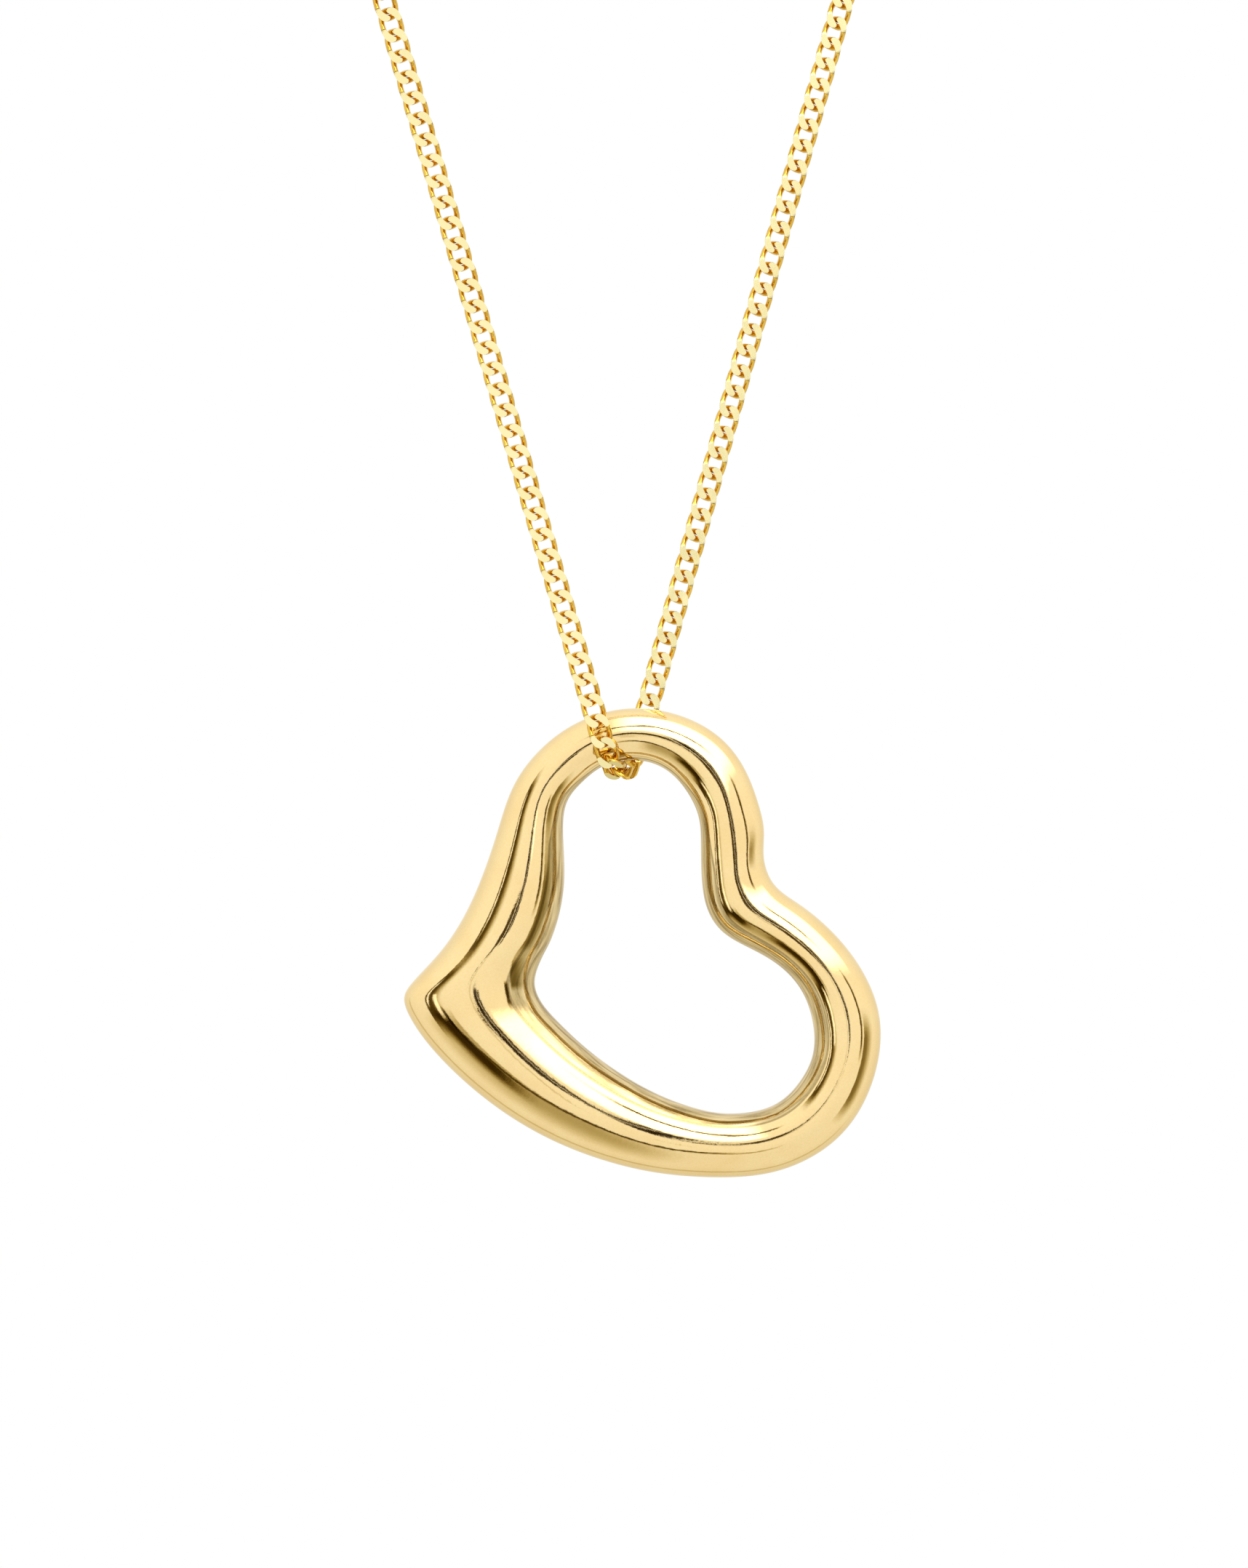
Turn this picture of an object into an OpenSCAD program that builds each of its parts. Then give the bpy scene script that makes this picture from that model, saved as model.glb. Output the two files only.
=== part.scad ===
// Pendant necklace: an open heart slung on a fine curb chain, stored on a display bar.
// Millimetres, +Z up, front towards -Y. The origin is on the axis of the display bar.

/* [Curb chain] */
// Width of the link wire at the link's sides
side_wire = 0.24; // [0.22:0.01:0.24]
// Width of the link wire at the link's ends
end_wire = 0.30; // [0.28:0.01:0.30]
// Width of the link wire at its shoulders, where it is rolled wide
shoulder_wire = 0.33; // [0.30:0.01:0.33]
// Depth of the link wire before the flats are cut
wire_depth = 0.36; // [0.32:0.01:0.36]
// Width of a link across the chain
link_width = 1.08; // [1.06:0.01:1.08]
// Length of a link outside
link_length = 1.61; // [1.61:0.01:1.64]
// Thickness between the two diamond-cut flats
link_thickness = 0.44; // [0.42:0.01:0.44]
// Twist of each end of a link
link_twist = 40; // [38:1:42]
// Distance from one link to the next
link_pitch = 0.98; // [0.97:0.01:0.98]

/* [Hanging vee] */
// Angle of each strand from the middle line of the vee
vee_angle = 16; // [15.5:0.1:16.5]
// Lean of the vee's middle line from the vertical
vee_lean = 0.5; // [0:0.1:1]
// Height of the heart's top bar above the point where the strands would cross
bar_height = 2.85; // [2.8:0.05:2.9]
// Radius of the chain's pivots where it bends under the heart's top bar
saddle_radius = 1.74; // [1.72:0.01:1.76]

/* [Winding] */
// Radius of the chain's middle line on the display bar
winding_radius = 15.45; // [15:0.05:16]
// Whole turns between the two strands, besides the part turn over the top
whole_turns = 3; // [3:1:3]
// Sideways step of the chain in each turn
turn_step = 1.5; // [1.4:0.05:1.7]
// Extra sideways step of the first and the last turn, which clears the swinging strands
end_spread = 1.7; // [1.7:0.05:1.9]
// Sideways place of the clasp on the bar
clasp_y = 0.75; // [0.5:0.05:1]
// Clear space on each side of the clasp's middle, to the next turn
clasp_lane = 3.6; // [3.5:0.1:4]
// Rise of the chain at the clasp, which stands on its rings
clasp_lift = 0.75; // [0.7:0.05:0.8]

/* [Heart] */
// Scale of the heart's depth, front to back
heart_depth = 1; // [0.9:0.05:1]

/* [Clasp] */
// Radius of the spring ring's tube, at its middle line
case_radius = 2.2; // [2.2:0.05:2.3]
// Radius of the tube outside
case_tube = 0.5; // [0.48:0.01:0.52]
// Radius of the channel in the tube
case_channel = 0.37; // [0.35:0.01:0.38]
// Radius of the sliding bolt
bolt_wire = 0.31; // [0.28:0.01:0.32]
// Radius of the jump ring and the catch ring's wire
ring_wire = 0.18; // [0.16:0.01:0.18]

/* [Hidden] */
$fn = 32;
gold = [0.93, 0.80, 0.52];
pale_gold = [0.97, 0.87, 0.60];

function unit(v) = v / norm(v);
function smooth(t) = let (u = min(max(t, 0), 1)) u * u * (3 - 2 * u);

// Skin over rings of points round a closed loop.
module skin_loop(rings) {
  n = len(rings);
  m = len(rings[0]);
  polyhedron(
    points = [for (r = rings) each r],
    faces = [
      for (i = [0:n - 1], j = [0:m - 1])
        let (k = (i + 1) % n * m, l = (j + 1) % m)
        each [[i * m + j, i * m + l, k + l], [i * m + j, k + l, k + j]]
    ]
  );
}

// Skin over rings of points along a run, closed by a flat face at each end.
module skin_run(rings) {
  n = len(rings);
  m = len(rings[0]);
  polyhedron(
    points = [for (r = rings) each r],
    faces = [
      [for (j = [0:m - 1]) m - 1 - j],
      [for (j = [0:m - 1]) (n - 1) * m + j],
      for (i = [0:n - 2], j = [0:m - 1])
        let (k = (i + 1) * m, l = (j + 1) % m)
        each [[i * m + j, i * m + l, k + l], [i * m + j, k + l, k + j]]
    ]
  );
}

// Moves children so that their X lies along way and their Z nearest to normal.
module place(at, way, normal) {
  z = unit(normal - (normal * way) * way);
  y = cross(z, way);
  multmatrix([
    [way[0], y[0], z[0], at[0]],
    [way[1], y[1], z[1], at[1]],
    [way[2], y[2], z[2], at[2]],
    [0, 0, 0, 1]
  ]) children();
}

// ---- Curb link, its length along X and its flats facing Z ----
link_a = (link_length - end_wire) / 2;
link_b = (link_width - side_wire) / 2;
// Reach of the twisted ends to the front and back, as a share of link_b.
link_c = 1.4 * link_b;
// Above 2 the oval of the link is squarer.
link_square = 2.8;
link_rings = 12;
// Reach of the four corners of the wire's section, as a share of its half width and half depth.
link_corner = 0.78;
function rounded(v) = sign(v) * pow(abs(v), 2 / link_square);
function link_middle(t) =
  let (twist = link_twist * rounded(cos(t)))
  [
    link_a * rounded(cos(t)),
    link_b * rounded(sin(t)) * cos(twist),
    -link_c * rounded(sin(t)) * sin(twist)
  ];
function link_wire(t) =
  side_wire + (end_wire - side_wire) * pow(cos(t), 2)
  + (shoulder_wire - (side_wire + end_wire) / 2) * pow(sin(2 * t), 2);
function link_ring(t) =
  let (
    way = unit(link_middle(t + 1) - link_middle(t - 1)),
    up = unit([0, 0, 1] - way[2] * way),
    side = cross(way, up),
    reach = link_corner / 2 * [link_wire(t), wire_depth],
    half = link_thickness / 2
  )
  [
    for (q = [45:90:315])
      let (p = link_middle(t) + reach[0] * sin(q) * side + reach[1] * cos(q) * up)
      [p[0], p[1], min(max(p[2], -half), half)]
  ];

module curb_link() {
  skin_loop([for (i = [0:link_rings - 1]) link_ring((i + 0.5) * 360 / link_rings)]);
}

// ---- Vee: the strands are tangents from its point to the winding's circle ----
vee_drop = winding_radius / sin(vee_angle);
pendant = [vee_drop * sin(vee_lean), 0, -vee_drop * cos(vee_lean)];
saddle_count = 2;
saddle_step = 2 * asin(link_pitch / (2 * saddle_radius));
saddle_end = (saddle_count + 0.5) * saddle_step;
saddle_shift = bar_height * tan(vee_angle) / (saddle_count + 0.5);

// Turns a point of the upright vee to the vee's lean.
function lean(p) = [
  p[0] * cos(vee_lean) - p[2] * sin(vee_lean),
  p[1],
  p[0] * sin(vee_lean) + p[2] * cos(vee_lean)
];

// ---- Winding: its angle grows clockwise, seen from the front ----
full_wrap = 180 + 2 * vee_angle + 360 * whole_turns;
clasp_wrap = 90 + vee_angle + 360 * (whole_turns - 1);
// Half spans, in degrees from the clasp: of the flat lane, and to the end of the crossing.
flat_span = 30;
cross_span = 110;
// Angle over which the chain comes down from its rise at the clasp.
lift_span = 40;
// Sideways place of the chain, from the clasp's middle.
function lane(w) =
  let (
    b = abs(w),
    to_end = (w < 0 ? clasp_wrap : full_wrap - clasp_wrap) - b,
    edge = clasp_lane - turn_step * (360 - cross_span) / 360,
    across = edge * smooth((b - flat_span) / (cross_span - flat_span)),
    beyond = turn_step * max(b - cross_span, 0) / 360,
    spread = end_spread * smooth(1 - to_end / 360)
  )
  sign(w) * (across + beyond + spread);
function lift(w) = clasp_lift * (1 - smooth((abs(w) - end_wrap) / lift_span));
function outward(a) = lean([cos(180 + vee_angle - a), 0, sin(180 + vee_angle - a)]);
function winding(a) =
  let (w = a - clasp_wrap)
  (winding_radius + lift(w)) * outward(a) + [0, clasp_y + lane(w), 0];
function winding_way(a) = unit(winding(a + 0.5) - winding(a - 0.5));

// Section of the chain's outer shape, across way and lying flat against normal.
function band_ring(at, way, normal) =
  let (z = unit(normal - (normal * way) * way), y = cross(z, way))
  [
    for (c = [[1, 1], [-1, 1], [-1, -1], [1, -1]])
      at + c[0] * link_width / 2 * y + c[1] * link_thickness / 2 * z
  ];
band_step = 16;
module band(from, to) {
  steps = ceil((to - from) / band_step);
  skin_run([
    for (i = [0:steps])
      let (a = from + (to - from) * i / steps)
      band_ring(winding(a), winding_way(a), outward(a))
  ]);
}

// ---- Strands: side is -1 for the left one, in front, and 1 for the right one ----
function strand_foot(side) = lean([
  side * bar_height * tan(vee_angle),
  side * saddle_radius * sin(saddle_end),
  bar_height - vee_drop - saddle_radius * cos(saddle_end)
]);
function strand_head(side) = winding(side < 0 ? 0 : full_wrap);
function strand_way(side) = unit(strand_head(side) - strand_foot(side));
function strand_length(side) = norm(strand_head(side) - strand_foot(side));
function strand_count(side) = floor(strand_length(side) / link_pitch);
// The links face the front, and turn above this one to lie flat on the bar.
turn_from = 37;
turn_links = 10;
module strand(side) {
  way = strand_way(side);
  count = strand_count(side);
  step = strand_length(side) / count;
  face = unit([0, side, 0] - side * way[1] * way);
  edge = side * cross(way, [0, 1, 0]);
  for (i = [0:count - 1]) {
    t = 90 * smooth((i - turn_from) / turn_links);
    place(strand_foot(side) + (i + 0.5) * step * way, way, cos(t) * face + sin(t) * edge)
      curb_link();
  }
}

// ---- Heart: [outer x, outer z, inner x, inner z, half depth], anticlockwise from the top ----
heart_stations = [
  [0.9, 4.1, 0.9, 1.7, 1.2], [-1.3, 3.75, -0.7, 1.5, 1.2], [-3.1, 2.75, -1.8, 0.7, 1.25],
  [-4.8, 0.8, -2.55, -0.4, 1.4], [-5.6, -1.3, -2.65, -1.9, 1.6], [-6.3, -3.4, -2.6, -3.6, 1.8],
  [-7.3, -5.6, -2.85, -5.4, 1.95], [-8.5, -7.3, -3.3, -6.7, 2.0], [-9.6, -8.5, -3.7, -7.5, 2.0],
  [-9.95, -9.2, -3.95, -8.3, 2.0], [-9.6, -10.2, -3.8, -9.1, 2.0],
  [-8.4, -11.8, -3.0, -10.15, 2.0], [-6.6, -13.5, -1.8, -11.3, 1.95],
  [-4.3, -15.1, -0.3, -12.45, 1.85], [-1.6, -16.35, 1.4, -13.45, 1.7],
  [1.4, -17.15, 3.0, -14.1, 1.6], [4.4, -17.4, 4.6, -14.45, 1.55],
  [7.2, -17.1, 6.2, -14.35, 1.5], [9.7, -15.8, 7.5, -13.75, 1.5],
  [11.3, -13.6, 8.5, -12.5, 1.5], [11.9, -10.8, 8.85, -10.9, 1.5],
  [11.4, -8.6, 8.4, -9.1, 1.5], [10.1, -6.6, 7.3, -7.75, 1.5], [8.2, -4.9, 5.8, -6.85, 1.45],
  [7.0, -3.95, 4.6, -6.1, 1.45], [6.55, -2.8, 3.95, -5.1, 1.4], [6.55, -1.6, 3.7, -3.8, 1.35],
  [6.3, -0.3, 3.65, -2.2, 1.3], [5.7, 1.25, 3.55, -0.9, 1.25], [4.6, 2.7, 3.0, 0.3, 1.2],
  [2.9, 3.7, 2.1, 1.25, 1.2]
];
heart_steps = 3;
heart_sides = 20;
// Point of a smooth curve through the stations, at fraction t between station i and the next.
function along(i, t) =
  let (
    n = len(heart_stations),
    a = heart_stations[(i + n - 1) % n],
    b = heart_stations[i],
    c = heart_stations[(i + 1) % n],
    d = heart_stations[(i + 2) % n]
  )
  b + t * ((c - a) + t * ((2 * a - 5 * b + 4 * c - d) + t * (3 * b - a - 3 * c + d))) / 2;
function heart_ring(s) =
  [
    for (j = [0:heart_sides - 1])
      let (q = j * 360 / heart_sides, u = (1 + cos(q)) / 2)
      [
        s[2] + u * (s[0] - s[2]),
        -heart_depth * s[4] * sin(q),
        s[3] + u * (s[1] - s[3])
      ]
  ];

module heart_pendant() {
  color(gold) translate(pendant)
    skin_loop([
      for (i = [0:len(heart_stations) - 1], k = [0:heart_steps - 1])
        heart_ring(along(i, k / heart_steps))
    ]);
}

// ---- Chain ----
// Link i of the bend under the heart's top bar, counted from the lowest.
module saddle_link(i) {
  q = i * saddle_step;
  radius = saddle_radius * cos(saddle_step / 2);
  at = [i * saddle_shift, radius * sin(q), bar_height - vee_drop - radius * cos(q)];
  way = [saddle_shift, link_pitch * cos(q), link_pitch * sin(q)];
  place(lean(at), unit(lean(way)), lean([0, sin(q), -cos(q)])) curb_link();
}
module saddle_middle_link() { color(pale_gold) saddle_link(0); }
module saddle_side_links() {
  color(pale_gold)
    for (i = [1:saddle_count]) {
      saddle_link(-i);
      saddle_link(i);
    }
}

module left_strand_links() { color(pale_gold) strand(-1); }
module right_strand_links() { color(pale_gold) strand(1); }

// The winding's outer shape stops short of the links that it is joined to, which swing.
// Angle from the clasp's middle to the first link on each side.
end_wrap = 14.9;
end_links = 3;
end_pitch = link_pitch / (winding_radius + clasp_lift) * 180 / PI;
swing_clear = 0.8;
band_gap = swing_clear / winding_radius * 180 / PI;
end_span = end_wrap + (end_links - 0.5) * end_pitch + band_gap;
module front_winding() { color(pale_gold) band(band_gap, clasp_wrap - end_span); }
module back_winding() { color(pale_gold) band(clasp_wrap + end_span, full_wrap - band_gap); }

module chain_end(side) {
  for (i = [0:end_links - 1]) {
    a = clasp_wrap + side * (end_wrap + i * end_pitch);
    place(winding(a), winding_way(a), outward(a)) curb_link();
  }
}
module front_end_links() { color(pale_gold) chain_end(-1); }
module back_end_links() { color(pale_gold) chain_end(1); }

// ---- Clasp: a spring ring, its own X along the chain and Z out from the bar ----
jump_radius = 0.6;
catch_radius = 0.85;
eye_radius = 0.55;
eye_x = -(case_radius + case_tube + eye_radius + 0.1);
// Step from the middle of the eye to the middle of the jump ring.
eye_step = 0.72;
jump_x = eye_x - eye_step;
// Slack between a ring and the link on it.
ring_gap = 0.08;
// Reach from a ring's middle to the middle of the link on it.
function link_reach(radius) = radius - ring_wire - end_wire / 2 - ring_gap + link_a;
first_end = winding(clasp_wrap - end_wrap);
clasp_origin = first_end + link_reach(jump_radius) * winding_way(clasp_wrap - end_wrap)
  - jump_x * lean([1, 0, 0]);
catch_origin = winding(clasp_wrap + end_wrap)
  - link_reach(catch_radius) * winding_way(clasp_wrap + end_wrap);
module in_clasp() {
  translate(clasp_origin) rotate([0, -vee_lean, 0]) children();
}
module tube_arc(radius, from, to) {
  rotate_extrude(angle = to - from, start = from) translate([case_radius, 0]) circle(radius);
}
module standing_ring(at, radius) {
  translate(at) rotate([90, 0, 0])
    rotate_extrude() translate([radius, 0]) circle(ring_wire);
}

gate = 28;
slot_from = 44;
slot_to = 126;
slot_height = 0.44;
trigger_at = 50;
bolt_from = -38;
bolt_to = 112;
channel_to = 300;
// Wall that closes the blind end of the channel, in degrees.
channel_wall = 12;
stem_radius = 0.18;
stem_length = 0.6;
knob_radius = 0.34;
knob_height = 0.4;
// Slack between the knob and the case it slides along.
knob_gap = 0.06;
module clasp_case() {
  color(gold) in_clasp() difference() {
    tube_arc(case_tube, gate, 360 - gate);
    tube_arc(case_channel, gate - 1, channel_to);
    tube_arc(case_channel, channel_to + channel_wall, 361 - gate);
    rotate_extrude(angle = slot_to - slot_from, start = slot_from)
      translate([case_radius, -slot_height / 2]) square([1, slot_height]);
  }
}
module clasp_eye() {
  color(gold) in_clasp() difference() {
    translate([eye_x, 0, 0])
      rotate_extrude() translate([eye_radius, 0]) circle(ring_wire);
    tube_arc(case_tube, 150, 210);
  }
}
module clasp_bolt() { color(gold) in_clasp() tube_arc(bolt_wire, bolt_from, bolt_to); }
module clasp_trigger() {
  color(gold) in_clasp() rotate([0, 0, trigger_at]) {
    difference() {
      translate([case_radius, 0, 0]) rotate([0, 90, 0]) cylinder(r = stem_radius, h = stem_length);
      rotate([0, 0, -20]) tube_arc(bolt_wire, 0, 40);
    }
    translate([case_radius + case_tube + knob_gap, 0, 0]) rotate([0, 90, 0])
      cylinder(r = knob_radius, h = knob_height);
  }
}

spring_turns = 12;
spring_radius = 0.24;
spring_wire = 0.06;
module clasp_spring() {
  rings = spring_turns * 8;
  from = bolt_to + 3;
  to = channel_to - 3;
  function spring_point(i) =
    let (a = from + (to - from) * i / rings, q = i * 45, r = case_radius + spring_radius * cos(q))
    [r * cos(a), r * sin(a), spring_radius * sin(q)];
  color(gold) in_clasp() skin_run([
    for (i = [0:rings])
      let (
        way = unit(spring_point(i + 0.5) - spring_point(i - 0.5)),
        y = unit(cross(way, [0.3, 0.2, 1])),
        z = cross(way, y)
      )
      [for (c = [45:90:315]) spring_point(i) + spring_wire * (cos(c) * y + sin(c) * z)]
  ]);
}

module clasp_jump_ring() {
  color(gold) standing_ring(clasp_origin + jump_x * lean([1, 0, 0]), jump_radius);
}
module catch_ring() { color(gold) standing_ring(catch_origin, catch_radius); }

heart_pendant();
saddle_middle_link();
saddle_side_links();
left_strand_links();
right_strand_links();
front_winding();
back_winding();
front_end_links();
back_end_links();
clasp_case();
clasp_eye();
clasp_bolt();
clasp_trigger();
clasp_spring();
clasp_jump_ring();
catch_ring();
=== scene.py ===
"""Pendant necklace: an open gold heart slung on a fine curb chain, lit as in a white tent."""
import math

import bpy
import numpy as np
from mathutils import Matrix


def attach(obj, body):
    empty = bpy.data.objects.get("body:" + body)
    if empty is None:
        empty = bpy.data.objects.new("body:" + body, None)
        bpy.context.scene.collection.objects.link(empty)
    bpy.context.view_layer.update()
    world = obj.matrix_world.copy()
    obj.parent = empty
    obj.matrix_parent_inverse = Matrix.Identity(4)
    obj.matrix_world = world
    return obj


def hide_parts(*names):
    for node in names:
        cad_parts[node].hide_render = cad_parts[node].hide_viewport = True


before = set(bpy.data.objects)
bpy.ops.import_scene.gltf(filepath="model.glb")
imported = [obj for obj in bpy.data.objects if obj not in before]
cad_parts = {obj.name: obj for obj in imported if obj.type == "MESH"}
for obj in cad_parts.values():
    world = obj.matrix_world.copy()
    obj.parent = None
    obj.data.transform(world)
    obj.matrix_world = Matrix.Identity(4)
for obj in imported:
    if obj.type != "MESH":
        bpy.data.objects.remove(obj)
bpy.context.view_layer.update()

MM = 0.001

# ---- Driving sizes, in millimetres and degrees, as in the design ----
SIDE_WIRE = 0.24
END_WIRE = 0.30
SHOULDER_WIRE = 0.33
WIRE_DEPTH = 0.36
LINK_WIDTH = 1.08
LINK_LENGTH = 1.61
LINK_THICKNESS = 0.44
LINK_PITCH = 0.98
VEE_ANGLE = 16.0
VEE_LEAN = 0.5
BAR_HEIGHT = 2.85
SADDLE_RADIUS = 1.74
SADDLE_COUNT = 2
WINDING_RADIUS = 15.45
WHOLE_TURNS = 3
TURN_STEP = 1.5
END_SPREAD = 1.7
CLASP_Y = 0.75
CLASP_LANE = 3.6
CLASP_LIFT = 0.75
LIFT_SPAN = 40.0
FLAT_SPAN = 30.0
CROSS_SPAN = 110.0
END_WRAP = 14.9
TURN_FROM = 37
TURN_LINKS = 10

LINK_A = (LINK_LENGTH - END_WIRE) / 2
LINK_B = (LINK_WIDTH - SIDE_WIRE) / 2
LINK_C = 1.4 * LINK_B
LINK_TWIST = 40
LINK_SQUARE = 2.8
CUT_LEAST = 0.15
CUT_CORNER = 32
ARC_STEPS = 6
# Rings of wire in a link that hangs, and in a link of the turns.
HUNG_RINGS = 48
TURN_RINGS = 24
VEE_DROP = WINDING_RADIUS / math.sin(math.radians(VEE_ANGLE))
FULL_WRAP = 180 + 2 * VEE_ANGLE + 360 * WHOLE_TURNS
CLASP_WRAP = 90 + VEE_ANGLE + 360 * (WHOLE_TURNS - 1)


def cosd(a):
    return math.cos(math.radians(a))


def sind(a):
    return math.sin(math.radians(a))


def unit(v):
    v = np.asarray(v, float)
    return v / np.linalg.norm(v)


def smooth(t):
    u = min(max(t, 0.0), 1.0)
    return u * u * (3 - 2 * u)


def lean(p):
    """Turns a point of the upright vee to the vee's lean."""
    c, s = cosd(VEE_LEAN), sind(VEE_LEAN)
    return np.array([p[0] * c - p[2] * s, p[1], p[0] * s + p[2] * c])


PENDANT = lean([0, 0, -VEE_DROP])


# ---- The chain's route ----
MEASURE_STEPS = 4000


def lane(w):
    """Sideways place of the winding, from the clasp's middle."""
    b = abs(w)
    edge = CLASP_LANE - TURN_STEP * (360 - CROSS_SPAN) / 360
    across = edge * smooth((b - FLAT_SPAN) / (CROSS_SPAN - FLAT_SPAN))
    beyond = TURN_STEP * max(b - CROSS_SPAN, 0) / 360
    to_end = (CLASP_WRAP if w < 0 else FULL_WRAP - CLASP_WRAP) - b
    spread = END_SPREAD * smooth(1 - to_end / 360)
    return math.copysign(across + beyond + spread, w)


def outward(a):
    """Direction out from the bar at a wrap angle."""
    turn = 180 + VEE_ANGLE - a
    return lean([cosd(turn), 0, sind(turn)])


def winding(a):
    """Point of the winding at a wrap angle, clockwise from the left strand."""
    w = a - CLASP_WRAP
    lift = CLASP_LIFT * (1 - smooth((abs(w) - END_WRAP) / LIFT_SPAN))
    return (WINDING_RADIUS + lift) * outward(a) + np.array([0, CLASP_Y + lane(w), 0])


def winding_way(a):
    """Direction of the chain at a wrap angle."""
    return unit(winding(a + 0.5) - winding(a - 0.5))


SADDLE_STEP = 2 * math.degrees(math.asin(LINK_PITCH / (2 * SADDLE_RADIUS)))
SADDLE_END = (SADDLE_COUNT + 0.5) * SADDLE_STEP
SADDLE_SHIFT = BAR_HEIGHT * math.tan(math.radians(VEE_ANGLE)) / (SADDLE_COUNT + 0.5)


def strand_foot(side):
    """Lower end of a strand, where the links under the heart's bar begin."""
    return lean([
        side * BAR_HEIGHT * math.tan(math.radians(VEE_ANGLE)),
        side * SADDLE_RADIUS * sind(SADDLE_END),
        BAR_HEIGHT - VEE_DROP - SADDLE_RADIUS * cosd(SADDLE_END),
    ])


def strand_head(side):
    return winding(0 if side < 0 else FULL_WRAP)


def strand_frames(side):
    """(middle, way, normal) of each link of a strand, from the heart upwards."""
    foot, head = strand_foot(side), strand_head(side)
    length = np.linalg.norm(head - foot)
    way = unit(head - foot)
    count = int(length / LINK_PITCH)
    step = length / count
    face = unit(np.array([0, side, 0]) - side * way[1] * way)
    edge = side * np.cross(way, [0, 1, 0])
    frames = []
    for i in range(count):
        t = 90 * smooth((i - TURN_FROM) / TURN_LINKS)
        frames.append((foot + (i + 0.5) * step * way, way, cosd(t) * face + sind(t) * edge))
    return frames


def saddle_frame(i):
    """Middle, way and normal of a link under the heart's bar, 0 for the lowest."""
    q = i * SADDLE_STEP
    radius = SADDLE_RADIUS * cosd(SADDLE_STEP / 2)
    at = [i * SADDLE_SHIFT, radius * sind(q), BAR_HEIGHT - VEE_DROP - radius * cosd(q)]
    way = [SADDLE_SHIFT, LINK_PITCH * cosd(q), LINK_PITCH * sind(q)]
    return lean(at), unit(lean(way)), lean([0, sind(q), -cosd(q)])


def winding_frames(start, end):
    """Links at the chain's pitch from one wrap angle to another, and the length of the run."""
    angles = np.linspace(start, end, MEASURE_STEPS + 1)
    points = np.array([winding(a) for a in angles])
    run = np.concatenate([[0], np.cumsum(np.linalg.norm(np.diff(points, axis=0), axis=1))])
    count = round(run[-1] / LINK_PITCH)
    middles = (np.arange(count) + 0.5) * run[-1] / count
    return [
        (winding(a), winding_way(a), outward(a))
        for a in np.interp(middles, run, angles)
    ], run[-1]


END_PITCH = math.degrees(LINK_PITCH / (WINDING_RADIUS + CLASP_LIFT))


# ---- Meshes ----
def mesh_object(name, points, faces, slots=None):
    mesh = bpy.data.meshes.new(name)
    mesh.from_pydata([tuple(p) for p in points], [], [tuple(f) for f in faces])
    if slots is not None:
        mesh.polygons.foreach_set("material_index", slots)
    mesh.polygons.foreach_set("use_smooth", [True] * len(mesh.polygons))
    mesh.update()
    obj = bpy.data.objects.new(name, mesh)
    bpy.context.scene.collection.objects.link(obj)
    return obj


def loop_faces(rings, sides):
    """Faces of a closed tube of rings, as point numbers."""
    i = np.arange(rings)[:, None]
    j = np.arange(sides)[None, :]
    k, l = (i + 1) % rings, (j + 1) % sides
    return np.stack([i * sides + j, i * sides + l, k * sides + l, k * sides + j], -1).reshape(-1, 4)


def link_middle(t):
    """Middle line of a curb link: a rounded oval whose ends are twisted opposite ways."""
    along = np.sign(np.cos(t)) * np.abs(np.cos(t)) ** (2 / LINK_SQUARE)
    across = np.sign(np.sin(t)) * np.abs(np.sin(t)) ** (2 / LINK_SQUARE)
    twist = math.radians(LINK_TWIST) * along
    return np.stack([
        LINK_A * along, LINK_B * across * np.cos(twist), -LINK_C * across * np.sin(twist)], -1)


def link_shape(rings):
    """Points and faces of one curb link, and which faces are diamond cut."""
    t = (np.arange(rings) + 0.5) * 2 * math.pi / rings
    middle = link_middle(t)
    way = link_middle(t + 0.01) - link_middle(t - 0.01)
    way /= np.linalg.norm(way, axis=1, keepdims=True)
    up = np.array([0, 0, 1]) - way[:, 2:] * way
    up /= np.linalg.norm(up, axis=1, keepdims=True)
    side = np.cross(way, up)
    # The wire is rolled wide at its shoulders, where the flats are cut.
    bulge = SHOULDER_WIRE - (SIDE_WIRE + END_WIRE) / 2
    width = SIDE_WIRE + (END_WIRE - SIDE_WIRE) * np.cos(t) ** 2 + bulge * np.sin(2 * t) ** 2
    half = LINK_THICKNESS / 2
    rise = WIRE_DEPTH / 2 * up[:, 2]
    # Half angles of the upper and the lower cut, whose corners are points of the ring.
    top = np.arccos(np.clip((half - middle[:, 2]) / rise, -1, 1))
    bottom = np.arccos(np.clip((half + middle[:, 2]) / rise, -1, 1))
    top, bottom = np.maximum(top, CUT_LEAST), np.maximum(bottom, CUT_LEAST)
    arc = np.linspace(0, 1, ARC_STEPS + 1)
    right = top[:, None] + arc * (math.pi - bottom - top)[:, None]
    q = np.concatenate([0 * top[:, None], right, 0 * top[:, None] + math.pi, -right[:, ::-1]], 1)
    points = middle[:, None] + (
        WIRE_DEPTH / 2 * np.cos(q)[..., None] * up[:, None]
        + width[:, None, None] / 2 * np.sin(q)[..., None] * side[:, None])
    points[..., 2] = np.clip(points[..., 2], -half, half)
    points = points.reshape(-1, 3)
    faces = loop_faces(rings, q.shape[1])
    cut = (np.abs(points[faces][..., 2]) > half - 1e-6).all(1)
    return points, faces, cut.astype(int)


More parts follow.
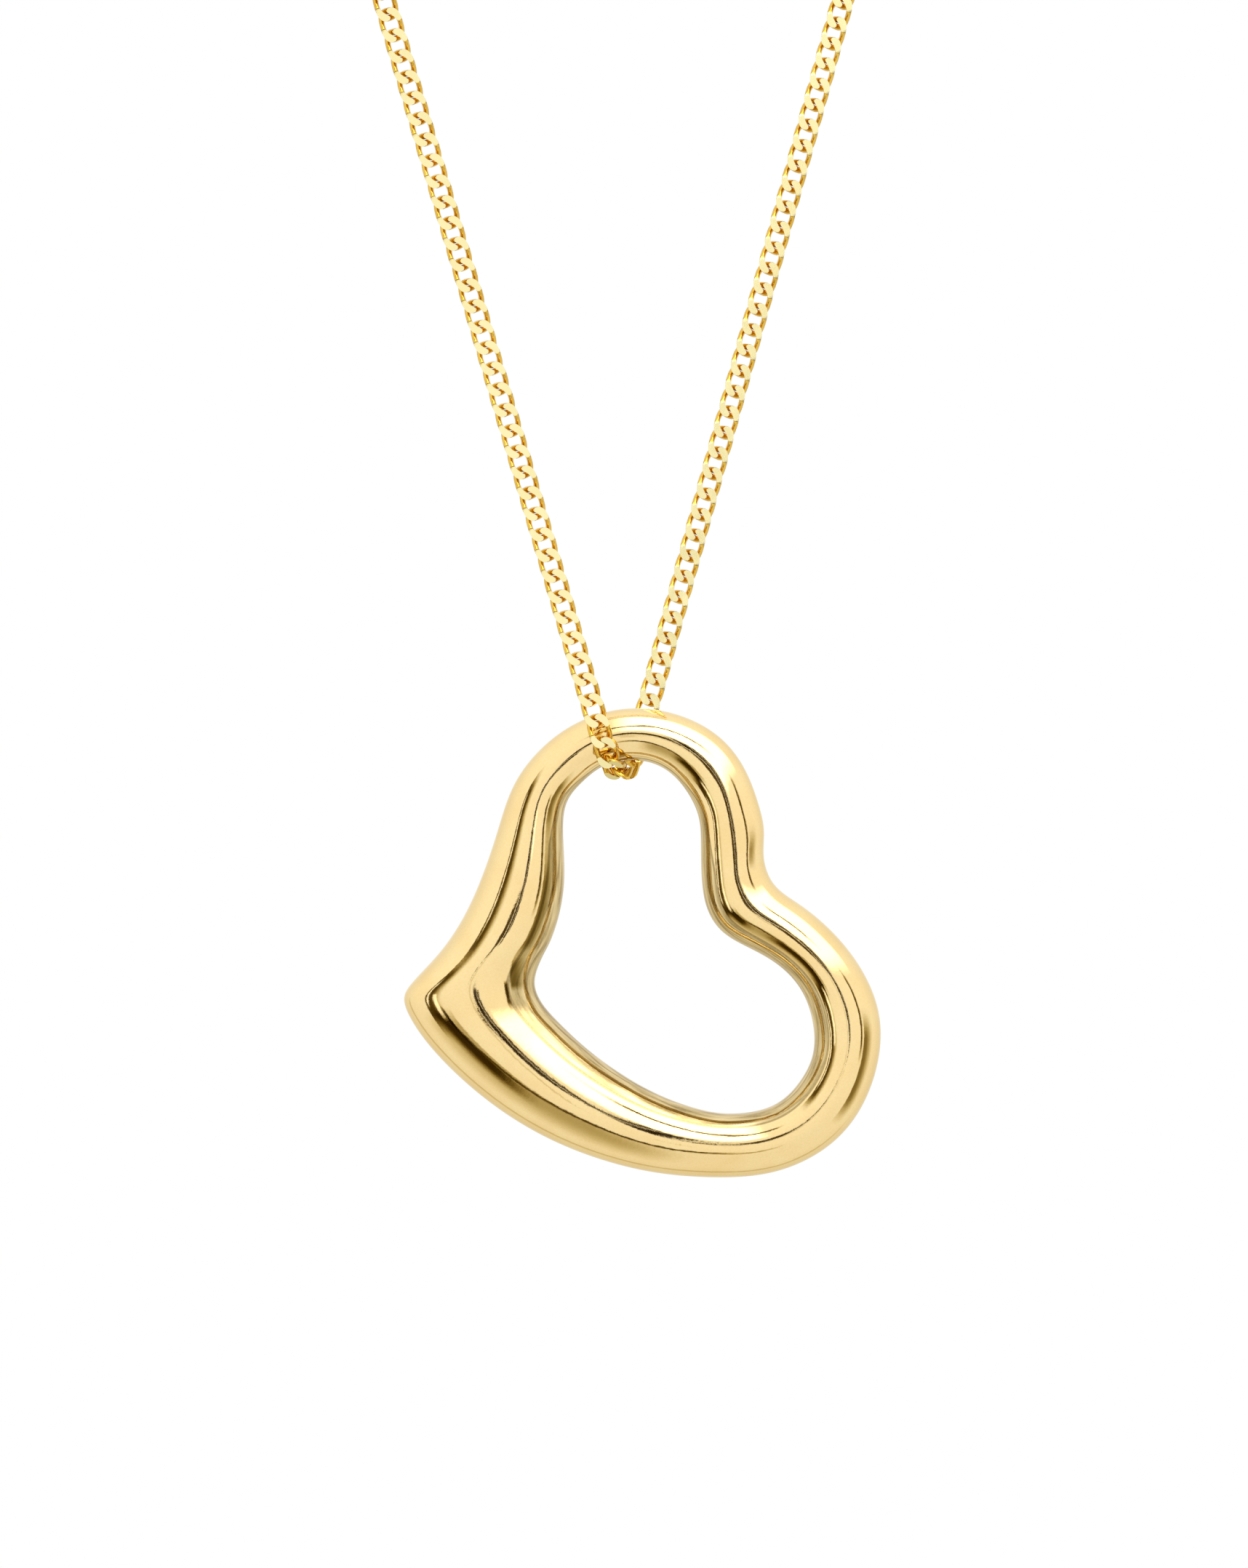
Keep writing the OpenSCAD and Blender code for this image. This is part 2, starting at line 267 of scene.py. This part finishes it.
def chain(name, frames, rings):
    """One mesh of separate links, each at its own place on the route."""
    points, faces, cut = link_shape(rings)
    all_points, all_faces = [], []
    for n, (at, way, normal) in enumerate(frames):
        z = unit(normal - np.dot(normal, way) * way)
        y = np.cross(z, way)
        all_points.append((at + points @ np.array([way, y, z])) * MM)
        all_faces.append(faces + n * len(points))
    obj = mesh_object(name, np.concatenate(all_points), np.concatenate(all_faces).tolist(),
                      np.tile(cut, len(frames)))
    # The wire takes the gold painted in shade, the cut flats the gold painted as highlight.
    obj.data.materials.append(chain_wire_painted_shade_gold)
    obj.data.materials.append(chain_cut_painted_highlight_gold)
    obj.data.set_sharp_from_angle(angle=math.radians(CUT_CORNER))
    return obj


# ---- Materials ----
class Shade:
    """A node material on one Principled shader, and short ways to add its detail."""

    def __init__(self, name, colour, roughness, metallic=1.0):
        self.material = bpy.data.materials.new(name)
        self.material.use_nodes = True
        self.nodes = self.material.node_tree.nodes
        self.links = self.material.node_tree.links
        self.shader = self.nodes["Principled BSDF"]
        self.shader.inputs["Metallic"].default_value = metallic
        self.shader.inputs["Base Color"].default_value = (*colour, 1)
        self.shader.inputs["Roughness"].default_value = roughness
        coordinates = self.nodes.new("ShaderNodeTexCoord")
        self.place = coordinates.outputs["Object"]
        self.skin = coordinates.outputs["UV"]

    def noise(self, scale, detail, stretch=None, distortion=0.0, source=None):
        node = self.nodes.new("ShaderNodeTexNoise")
        node.inputs["Scale"].default_value = scale
        node.inputs["Detail"].default_value = detail
        node.inputs["Distortion"].default_value = distortion
        source = source or self.place
        if stretch is not None:
            mapping = self.nodes.new("ShaderNodeMapping")
            mapping.inputs["Scale"].default_value = stretch
            self.links.new(source, mapping.inputs["Vector"])
            source = mapping.outputs["Vector"]
        self.links.new(source, node.inputs["Vector"])
        return node.outputs["Fac"]

    def ramp(self, value, stops):
        node = self.nodes.new("ShaderNodeValToRGB")
        ramp = node.color_ramp
        while len(ramp.elements) < len(stops):
            ramp.elements.new(0.5)
        for element, (at, colour) in zip(ramp.elements, stops):
            element.position = at
            element.color = (*colour, 1)
        self.links.new(value, node.inputs["Fac"])
        return node.outputs["Color"]

    def range(self, value, low, high, start=0.3, end=0.7):
        node = self.nodes.new("ShaderNodeMapRange")
        node.inputs["From Min"].default_value = start
        node.inputs["From Max"].default_value = end
        node.inputs["To Min"].default_value = low
        node.inputs["To Max"].default_value = high
        self.links.new(value, node.inputs["Value"])
        return node.outputs["Result"]

    def math(self, operation, *values):
        node = self.nodes.new("ShaderNodeMath")
        node.operation = operation
        for socket, value in zip(node.inputs, values):
            if isinstance(value, (int, float)):
                socket.default_value = value
            else:
                self.links.new(value, socket)
        return node.outputs[0]

    def mix(self, share, first, second):
        node = self.nodes.new("ShaderNodeMix")
        node.data_type = "RGBA"
        self.links.new(share, node.inputs["Factor"])
        for socket, value in (("A", first), ("B", second)):
            colour = [s for s in node.inputs if s.name == socket and s.type == "RGBA"][0]
            if isinstance(value, tuple):
                colour.default_value = (*value, 1)
            else:
                self.links.new(value, colour)
        return [s for s in node.outputs if s.type == "RGBA"][0]

    def bump(self, height, distance):
        node = self.nodes.new("ShaderNodeBump")
        node.inputs["Distance"].default_value = distance
        node.inputs["Strength"].default_value = 1.0
        self.links.new(height, node.inputs["Height"])
        self.links.new(node.outputs["Normal"], self.shader.inputs["Normal"])

    def set(self, socket, value):
        self.links.new(value, self.shader.inputs[socket])


def polished(name, pale, deep, rough):
    """Polished metal: faint clouds of tone, and a soft uneven polish."""
    shade = Shade(name, pale, rough)
    clouds = shade.noise(420, 4, distortion=0.6)
    shade.colour = shade.ramp(clouds, [(0.30, deep), (0.62, pale)])
    shade.set("Base Color", shade.colour)
    polish = shade.noise(1500, 5)
    shade.set("Roughness", shade.range(polish, rough * 0.7, rough * 1.35))
    return shade


def buffing_grain(shade):
    return shade.noise(2600, 6)


def grained_metal(name, pale, deep, rough, depth):
    """Material of polished metal with the grain of its buffing."""
    shade = polished(name, pale, deep, rough)
    shade.bump(buffing_grain(shade), depth)
    return shade.material


# Reach of the painted shade on the opening's wall from its middle, as a share of the way round the
# section.
WALL_FULL = 0.14
WALL_END = 0.155
# The dark line along the wall's border, a painted reflection, on the same measure.
BORDER_AT = 0.150
BORDER_HALF = 0.004
BORDER_SHARE = 0.85
# How much less the wall's painted shade reaches under the arch, and how far the arch runs round the
# loop.
ARCH_REACH = 0.08
ARCH_FULL = 0.05
ARCH_END = 0.14
# Tones of the wall's painted shade, all darker than the faces: the darkest, also that of the
# painted dark line at the wall's border; the middle; the palest.
WALL_SHADE_DARK = (0.34, 0.25, 0.11)
WALL_SHADE_TONE = (0.58, 0.45, 0.22)
WALL_SHADE_PALE = (0.80, 0.65, 0.36)
SPECK_SHARE = 0.20
SPECK_TONE = (0.78, 0.57, 0.24)
# Height of the buffing's lines and of the finest grain, as shares of the grain's height.
LINE_SHARE = 0.5
FINE_SHARE = 0.08
HEART_BUMP = 2.2e-6


def paint_wall_shade_and_specks(shade):
    """The wall of the heart's opening, darker in painted shade, and streaked, with a painted dark
    line along its border.
    Specks of a deeper tone lie all over the heart."""
    split = shade.nodes.new("ShaderNodeSeparateXYZ")
    shade.links.new(shade.skin, split.inputs[0])
    from_wall = shade.math("ABSOLUTE", shade.math("SUBTRACT", split.outputs["Y"], 0.5))
    # Under the arch the painted shade keeps to less of the wall.
    from_arch = shade.math("PINGPONG", split.outputs["X"], 0.5)
    arch = shade.range(from_arch, ARCH_REACH, 0, ARCH_FULL, ARCH_END)
    reach = shade.math("ADD", from_wall, arch)
    # Painted shade over the wall of the opening.
    wall = shade.range(reach, 1, 0, WALL_FULL, WALL_END)
    from_border = shade.math("ABSOLUTE", shade.math("SUBTRACT", reach, BORDER_AT))
    # Painted reflection: a dark line painted along the wall's border.
    border = shade.range(from_border, BORDER_SHARE, 0, BORDER_HALF, 2 * BORDER_HALF)
    streaks = shade.noise(1, 5, stretch=(22, 46, 1), distortion=0.4, source=shade.skin)
    tone = shade.ramp(streaks, [(0.36, WALL_SHADE_DARK), (0.50, WALL_SHADE_TONE), (0.66, WALL_SHADE_PALE)])
    # The gold with the wall's painted shade, then the painted dark line along its border.
    wall_shaded_colour = shade.mix(border, shade.mix(wall, shade.colour, tone), WALL_SHADE_DARK)
    specks = shade.range(shade.noise(11000, 2), 0, SPECK_SHARE, 0.38, 0.66)
    shade.set("Base Color", shade.mix(specks, wall_shaded_colour, SPECK_TONE))


def add_buffing(shade):
    """Grain, and the fine lines that the buff leaves along the loop."""
    lines = shade.noise(1, 4, stretch=(150, 90, 1), source=shade.skin)
    height = shade.math("MULTIPLY_ADD", lines, LINE_SHARE, buffing_grain(shade))
    fine = shade.noise(9000, 3)
    shade.bump(shade.math("MULTIPLY_ADD", fine, FINE_SHARE, height), HEART_BUMP)


# The heart's gold, with painted shade on the wall of its opening.
heart_shade = polished("heart_gold", (0.93, 0.73, 0.38), (0.90, 0.68, 0.33), 0.06)
paint_wall_shade_and_specks(heart_shade)
add_buffing(heart_shade)
heart_gold = heart_shade.material
# The chain's gold as two copies of one gold: the wire's is painted deeper and more amber, as
# painted shade, and the diamond-cut flats' is painted paler, as a painted highlight.
chain_wire_painted_shade_gold = grained_metal(
    "chain_wire_painted_shade_gold", (0.82, 0.54, 0.10), (0.72, 0.44, 0.06), 0.14, 1e-6)
chain_cut_painted_highlight_gold = grained_metal(
    "chain_cut_painted_highlight_gold", (0.97, 0.88, 0.50), (0.95, 0.84, 0.44), 0.10, 5e-7)
clasp_gold = grained_metal("clasp_gold", (0.93, 0.75, 0.38), (0.89, 0.69, 0.32), 0.11, 1e-6)
spring_steel = grained_metal("spring_steel", (0.56, 0.55, 0.53), (0.45, 0.44, 0.42), 0.28, 1e-6)


# ---- Heart ----
# Outer x and z, inner x and z and half depth of a section, anticlockwise from the top.
HEART_STATIONS = [
    [0.9, 4.1, 0.9, 1.7, 1.2], [-1.3, 3.75, -0.7, 1.5, 1.2], [-3.1, 2.75, -1.8, 0.7, 1.25],
    [-4.8, 0.8, -2.55, -0.4, 1.4], [-5.6, -1.3, -2.65, -1.9, 1.6], [-6.3, -3.4, -2.6, -3.6, 1.8],
    [-7.3, -5.6, -2.85, -5.4, 1.95], [-8.5, -7.3, -3.3, -6.7, 2.0], [-9.6, -8.5, -3.7, -7.5, 2.0],
    [-9.95, -9.2, -3.95, -8.3, 2.0], [-9.6, -10.2, -3.8, -9.1, 2.0],
    [-8.4, -11.8, -3.0, -10.15, 2.0], [-6.6, -13.5, -1.8, -11.3, 1.95],
    [-4.3, -15.1, -0.3, -12.45, 1.85], [-1.6, -16.35, 1.4, -13.45, 1.7],
    [1.4, -17.15, 3.0, -14.1, 1.6], [4.4, -17.4, 4.6, -14.45, 1.55],
    [7.2, -17.1, 6.2, -14.35, 1.5], [9.7, -15.8, 7.5, -13.75, 1.5],
    [11.3, -13.6, 8.5, -12.5, 1.5], [11.9, -10.8, 8.85, -10.9, 1.5],
    [11.4, -8.6, 8.4, -9.1, 1.5], [10.1, -6.6, 7.3, -7.75, 1.5], [8.2, -4.9, 5.8, -6.85, 1.45],
    [7.0, -3.95, 4.6, -6.1, 1.45], [6.55, -2.8, 3.95, -5.1, 1.4], [6.55, -1.6, 3.7, -3.8, 1.35],
    [6.3, -0.3, 3.65, -2.2, 1.3], [5.7, 1.25, 3.55, -0.9, 1.25], [4.6, 2.7, 3.0, 0.3, 1.2],
    [2.9, 3.7, 2.1, 1.25, 1.2],
]
HEART_RINGS = 372
HEART_SIDES = 80


def closed_spline(stations, count):
    """Rows of a closed curve with even curvature through the stations."""
    rows = np.array(stations, float)
    gaps = np.linalg.norm(np.roll(rows[:, :4], -1, 0) - rows[:, :4], axis=1)
    before = np.roll(gaps, 1)
    n = len(rows)
    system = np.zeros((n, n))
    for i in range(n):
        system[i, i - 1] = before[i]
        system[i, i] = 2 * (before[i] + gaps[i])
        system[i, (i + 1) % n] = gaps[i]
    slopes = (np.roll(rows, -1, 0) - rows) / gaps[:, None]
    bends = np.linalg.solve(system, 6 * (slopes - np.roll(slopes, 1, 0)))
    starts = np.concatenate([[0], np.cumsum(gaps)])
    out = []
    for s in np.arange(count) * starts[-1] / count:
        i = min(np.searchsorted(starts, s, side="right") - 1, n - 1)
        k = (i + 1) % n
        h = gaps[i]
        a, b = (starts[i + 1] - s) / h, (s - starts[i]) / h
        curve = (a ** 3 - a) * bends[i] + (b ** 3 - b) * bends[k]
        out.append(a * rows[i] + b * rows[k] + curve * h * h / 6)
    return np.array(out)


def lay_skin(heart):
    """UV of the heart's surface: round the loop, and round the section, 0.5 at the opening."""
    i = np.arange(HEART_RINGS)[:, None, None] + np.array([0, 0, 1, 1])
    j = np.arange(HEART_SIDES)[None, :, None] + np.array([0, 1, 1, 0])
    i, j = np.broadcast_arrays(i / HEART_RINGS, j / HEART_SIDES)
    layer = heart.data.uv_layers.new(name="skin")
    layer.data.foreach_set("uv", np.stack([i, j], -1).ravel())


def build_heart():
    rows = closed_spline(HEART_STATIONS, HEART_RINGS)
    q = np.arange(HEART_SIDES) * 2 * math.pi / HEART_SIDES
    u = (1 + np.cos(q)) / 2
    x = rows[:, 2, None] + u * (rows[:, 0] - rows[:, 2])[:, None]
    z = rows[:, 3, None] + u * (rows[:, 1] - rows[:, 3])[:, None]
    y = rows[:, 4, None] * np.sin(q)
    points = np.stack([x, y, z], -1).reshape(-1, 3) + PENDANT
    heart = mesh_object("heart", points * MM, loop_faces(HEART_RINGS, HEART_SIDES).tolist())
    lay_skin(heart)
    heart.data.materials.append(heart_gold)
    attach(heart, "pendant")
    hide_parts("heart_pendant")


def build_strand(side, name, node):
    frames = strand_frames(side)
    strand = chain(name, frames, HUNG_RINGS)
    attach(strand, "strands")
    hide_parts(node)


def build_saddle():
    middle = chain("saddle_middle", [saddle_frame(0)], HUNG_RINGS)
    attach(middle, "saddle")
    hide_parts("saddle_middle_link")
    sides = chain("saddle_sides", [saddle_frame(i) for i in (-2, -1, 1, 2)], HUNG_RINGS)
    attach(sides, "strands")
    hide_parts("saddle_side_links")


def build_winding(name, start, end, *nodes):
    frames, length = winding_frames(start, end)
    piece = chain(name, frames, TURN_RINGS)
    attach(piece, "winding")
    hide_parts(*nodes)


# ---- Clasp ----
RING_WIRE = 0.18
CASE_RADIUS = 2.2
CASE_TUBE = 0.5
EYE_RADIUS = 0.55
JUMP_RADIUS = 0.6
EYE_GAP = 0.1
EYE_STEP = 0.72
RING_GAP = 0.08
TRIGGER_AT = 50
KNOB_SIDES = 48
KNOB_CORNER = 50
# Distance from the clasp's middle and radius, from the stem's foot to the knob's crown.
KNOB_PROFILE = [
    (2.42, 0.02), (2.42, 0.17), (2.74, 0.17), (2.77, 0.22), (2.79, 0.31), (2.82, 0.338),
    (2.86, 0.338), (2.885, 0.318), (2.90, 0.298), (2.92, 0.318), (2.945, 0.338), (3.00, 0.338),
    (3.05, 0.322), (3.09, 0.28), (3.125, 0.21), (3.15, 0.11), (3.155, 0.01),
]


def clasp_middle():
    """Middle of the spring ring, which hangs on its jump ring from the chain's first end."""
    jump_x = -(CASE_RADIUS + CASE_TUBE + EYE_RADIUS + EYE_GAP) - EYE_STEP
    reach = JUMP_RADIUS - RING_WIRE - END_WIRE / 2 - RING_GAP + LINK_A
    angle = CLASP_WRAP - END_WRAP
    return winding(angle) + reach * winding_way(angle) - jump_x * lean([1, 0, 0])


def build_knob():
    """The trigger: a stem through the case's slot, and a grooved knob with a domed crown."""
    out = lean([cosd(TRIGGER_AT), sind(TRIGGER_AT), 0])
    beside = np.cross(out, lean([0, 0, 1]))
    middle = clasp_middle()
    turn = np.arange(KNOB_SIDES) * 2 * math.pi / KNOB_SIDES
    rim = np.cos(turn)[:, None] * beside + np.sin(turn)[:, None] * np.cross(out, beside)
    points = np.concatenate([middle + at * out + radius * rim for at, radius in KNOB_PROFILE])
    rings = len(KNOB_PROFILE)
    skin = loop_faces(rings, KNOB_SIDES)[:-KNOB_SIDES].tolist()
    foot = list(range(KNOB_SIDES))[::-1]
    crown = [(rings - 1) * KNOB_SIDES + i for i in range(KNOB_SIDES)]
    knob = mesh_object("clasp_knob", points * MM, skin + [foot, crown])
    knob.data.set_sharp_from_angle(angle=math.radians(KNOB_CORNER))
    knob.data.materials.append(clasp_gold)
    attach(knob, "trigger")
    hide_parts("clasp_trigger")


build_heart()
build_knob()
build_strand(-1, "left_strand", "left_strand_links")
build_strand(1, "right_strand", "right_strand_links")
build_saddle()
# The turns end at the links nearest to the clasp.
ends = END_WRAP - END_PITCH / 2
build_winding("front_turns", 0, CLASP_WRAP - ends, "front_winding", "front_end_links")
build_winding("back_turns", FULL_WRAP, CLASP_WRAP + ends, "back_winding", "back_end_links")

for node, material in [
    ("clasp_case", clasp_gold), ("clasp_eye", clasp_gold), ("clasp_bolt", clasp_gold),
    ("clasp_jump_ring", clasp_gold), ("catch_ring", clasp_gold), ("clasp_spring", spring_steel),
]:
    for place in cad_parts[node].material_slots:
        place.material = material


# ---- Light: a white tent round the pendant, with dark flags that draw its edges ----
world = bpy.data.worlds.new("tent")
bpy.context.scene.world = world
world.use_nodes = True
sky = world.node_tree
sky.nodes.clear()


def sky_math(operation, *values):
    node = sky.nodes.new("ShaderNodeMath")
    node.operation = operation
    for socket, value in zip(node.inputs, values):
        if isinstance(value, (int, float)):
            socket.default_value = value
        else:
            sky.links.new(value, socket)
    return node.outputs[0]


def sky_direction():
    """Azimuth about the line of sight, 0 right and 90 up, and angle from it, in degrees."""
    place = sky.nodes.new("ShaderNodeTexCoord").outputs["Generated"]
    split = sky.nodes.new("ShaderNodeSeparateXYZ")
    sky.links.new(place, split.inputs[0])
    x, y, z = split.outputs
    azimuth = sky_math("DEGREES", sky_math("ARCTAN2", z, x))
    polar = sky_math("DEGREES", sky_math("ARCCOSINE", sky_math("MULTIPLY", y, -1.0)))
    return azimuth, polar


azimuth, polar = sky_direction()


def fade(value, full, none):
    """1 at full and past it, falling smoothly to 0 at none."""
    node = sky.nodes.new("ShaderNodeMapRange")
    node.interpolation_type = "SMOOTHSTEP"
    node.inputs["From Min"].default_value = none
    node.inputs["From Max"].default_value = full
    sky.links.new(value, node.inputs["Value"])
    return node.outputs["Result"]


def patch(az, half_az, az_edge, pol, half_pol, low_edge, high_edge, slope):
    """Mask of a flag or a light, with soft edges, whose polar angle may slope with azimuth."""
    turn = sky_math("WRAP", sky_math("SUBTRACT", azimuth, az), 180.0, -180.0)
    height = sky_math("SUBTRACT", sky_math("SUBTRACT", polar, pol),
                      sky_math("MULTIPLY", turn, slope))
    across = fade(sky_math("ABSOLUTE", turn), half_az, half_az + az_edge)
    low = fade(height, -half_pol, -half_pol - low_edge)
    high = fade(height, half_pol, half_pol + high_edge)
    return sky_math("MULTIPLY", across, sky_math("MULTIPLY", low, high))


def strip(right, half, edge, top, bottom, end):
    """Mask of an upright strip near the line of sight, placed by degrees right of it and up."""
    turn = sky_math("RADIANS", azimuth)
    beside = sky_math("SUBTRACT", sky_math("MULTIPLY", polar, sky_math("COSINE", turn)), right)
    above = sky_math("MULTIPLY", polar, sky_math("SINE", turn))
    across = fade(sky_math("ABSOLUTE", beside), half, half + edge)
    ends = sky_math("MULTIPLY", fade(above, top, top + end), fade(above, bottom, bottom - end))
    return sky_math("MULTIPLY", across, ends)


# Azimuth, half width, edge; polar angle, half height, lower edge, upper edge, slope; darkness.
FLAGS = [
    (177, 32, 14, 56.5, 5, 18, 1.5, 0.10, 0.92),
    (222, 10, 12, 44, 4, 2, 16, 0.0, 0.92),
    (236, 19, 13, 37, 5, 2, 52, 0.0, 0.50),
    (240, 30, 12, 35, 1.2, 1.2, 2.5, -0.2, 0.85),
    (273, 12, 8, 31, 1, 1.5, 3, 0.0, 0.5),
    (10, 14, 12, 48, 1.5, 1.5, 5, 0.0, 0.92),
    (70, 14, 12, 40, 1.2, 1.5, 3, 0.0, 0.95),
    (97, 10, 10, 36, 1.2, 1.5, 3, 0.0, 0.95),
    (345, 12, 18, 62, 3, 3, 34, 0.0, 0.78),
    (250, 50, 30, 112, 1, 2, 8, 0.0, 0.26),
]
# Degrees right of the line of sight, half width, edge, top, bottom, end fade; darkness.
STRIPS = [
    (0.0, 3.0, 0.5, 7.3, 1.0, 0.8, 0.94), (6.0, 1.7, 0.25, 12.0, -1.5, 0.8, 0.98),
    (9.3, 0.9, 0.25, 13.0, -0.5, 0.8, 0.97), (0.0, 0.4, 0.6, 0.5, -12, 3, 0.28),
]
# As the flags, but the last number is light added: the lamp lies behind the flags, and the gaps
# let light through the band of flags on the left.
LAMP = (66, 24, 14, 48, 30, 2, 10, 0.0, 1.8)
GAPS = [(174, 20, 10, 57.5, 0.7, 1.2, 1.2, 0.10, 1.3), (194, 14, 5, 46, 2.0, 1.5, 1.5, 0.0, 1.0)]

TENT_LEVEL = 1.07
TENT_SLOPE = 0.10
# Share of the brightness lost behind the necklace, which its outer edges reflect.
TENT_BACK = 0.16
TENT_TINT = (1.0, 0.985, 0.95)
# Powers by which red, green and blue fall faster than the brightness.
DARK_TURN = (0.0, 0.19, 0.95)


def add_light(level, *light):
    return sky_math("ADD", level, sky_math("MULTIPLY", patch(*light[:-1]), light[-1]))


def darken(level, mask, dark):
    return sky_math("MULTIPLY", level, sky_math("SUBTRACT", 1.0, sky_math("MULTIPLY", mask, dark)))


def tent_level():
    """Brightness of the tent: brighter above than below, then the lamp and the flags."""
    slope = sky_math("MULTIPLY", sky_math("SINE", sky_math("RADIANS", azimuth)), TENT_SLOPE)
    level = sky_math("ADD", sky_math("MULTIPLY", slope, fade(polar, 50, 0)), TENT_LEVEL)
    level = darken(level, fade(polar, 150, 80), TENT_BACK)
    level = add_light(level, *LAMP)
    for *place, dark in FLAGS:
        level = darken(level, patch(*place), dark)
    for *place, dark in STRIPS:
        level = darken(level, strip(*place), dark)
    for gap in GAPS:
        level = add_light(level, *gap)
    return level


def tent_colour(level):
    """Warm white, turning to deep brown where the tent is dark, as gold seen in gold."""
    shade = sky_math("MINIMUM", level, 1.0)
    colour = sky.nodes.new("ShaderNodeCombineColor")
    for socket, power, share in zip(colour.inputs, DARK_TURN, TENT_TINT):
        turned = sky_math("MULTIPLY", level, sky_math("POWER", shade, power))
        sky.links.new(sky_math("MULTIPLY", turned, share), socket)
    return colour.outputs[0]


seen = sky.nodes.new("ShaderNodeLightPath").outputs["Is Camera Ray"]
tent = sky.nodes.new("ShaderNodeBackground")
sky.links.new(tent_colour(tent_level()), tent.inputs["Color"])
plain = sky.nodes.new("ShaderNodeBackground")
plain.inputs["Color"].default_value = (1, 1, 1, 1)
mix = sky.nodes.new("ShaderNodeMixShader")
sky.links.new(seen, mix.inputs["Fac"])
sky.links.new(tent.outputs[0], mix.inputs[1])
sky.links.new(plain.outputs[0], mix.inputs[2])
sky_out = sky.nodes.new("ShaderNodeOutputWorld")
sky.links.new(mix.outputs[0], sky_out.inputs["Surface"])


# ---- Floor ----
FLOOR_SIZE = 0.3
FLOOR_DROP = 0.06
half = FLOOR_SIZE / 2
floor_z = PENDANT[2] * MM - FLOOR_DROP
floor = mesh_object("floor", [(-half, -half, floor_z), (half, -half, floor_z),
                              (half, half, floor_z), (-half, half, floor_z)], [(0, 1, 2, 3)])
floor.data.materials.append(Shade("floor_paper", (0.92, 0.92, 0.91), 0.8, metallic=0).material)
floor.visible_glossy = False


# ---- Camera ----
CAMERA_DISTANCE = 0.6
VIEW_HEIGHT = 71.87 * MM
AIM = [0.13 * MM, 0.63 * MM]
camera_data = bpy.data.cameras.new("camera")
camera_data.sensor_width = 24  # the frame's longer side, its height
camera_data.lens = camera_data.sensor_width * CAMERA_DISTANCE / VIEW_HEIGHT
camera_data.clip_start = 0.01
camera = bpy.data.objects.new("camera", camera_data)
bpy.context.scene.collection.objects.link(camera)
camera.location = (PENDANT[0] * MM + AIM[0], -CAMERA_DISTANCE, PENDANT[2] * MM + AIM[1])
camera.rotation_euler = (math.pi / 2, 0, 0)
bpy.context.scene.camera = camera
bpy.context.scene.view_settings.view_transform = "Standard"
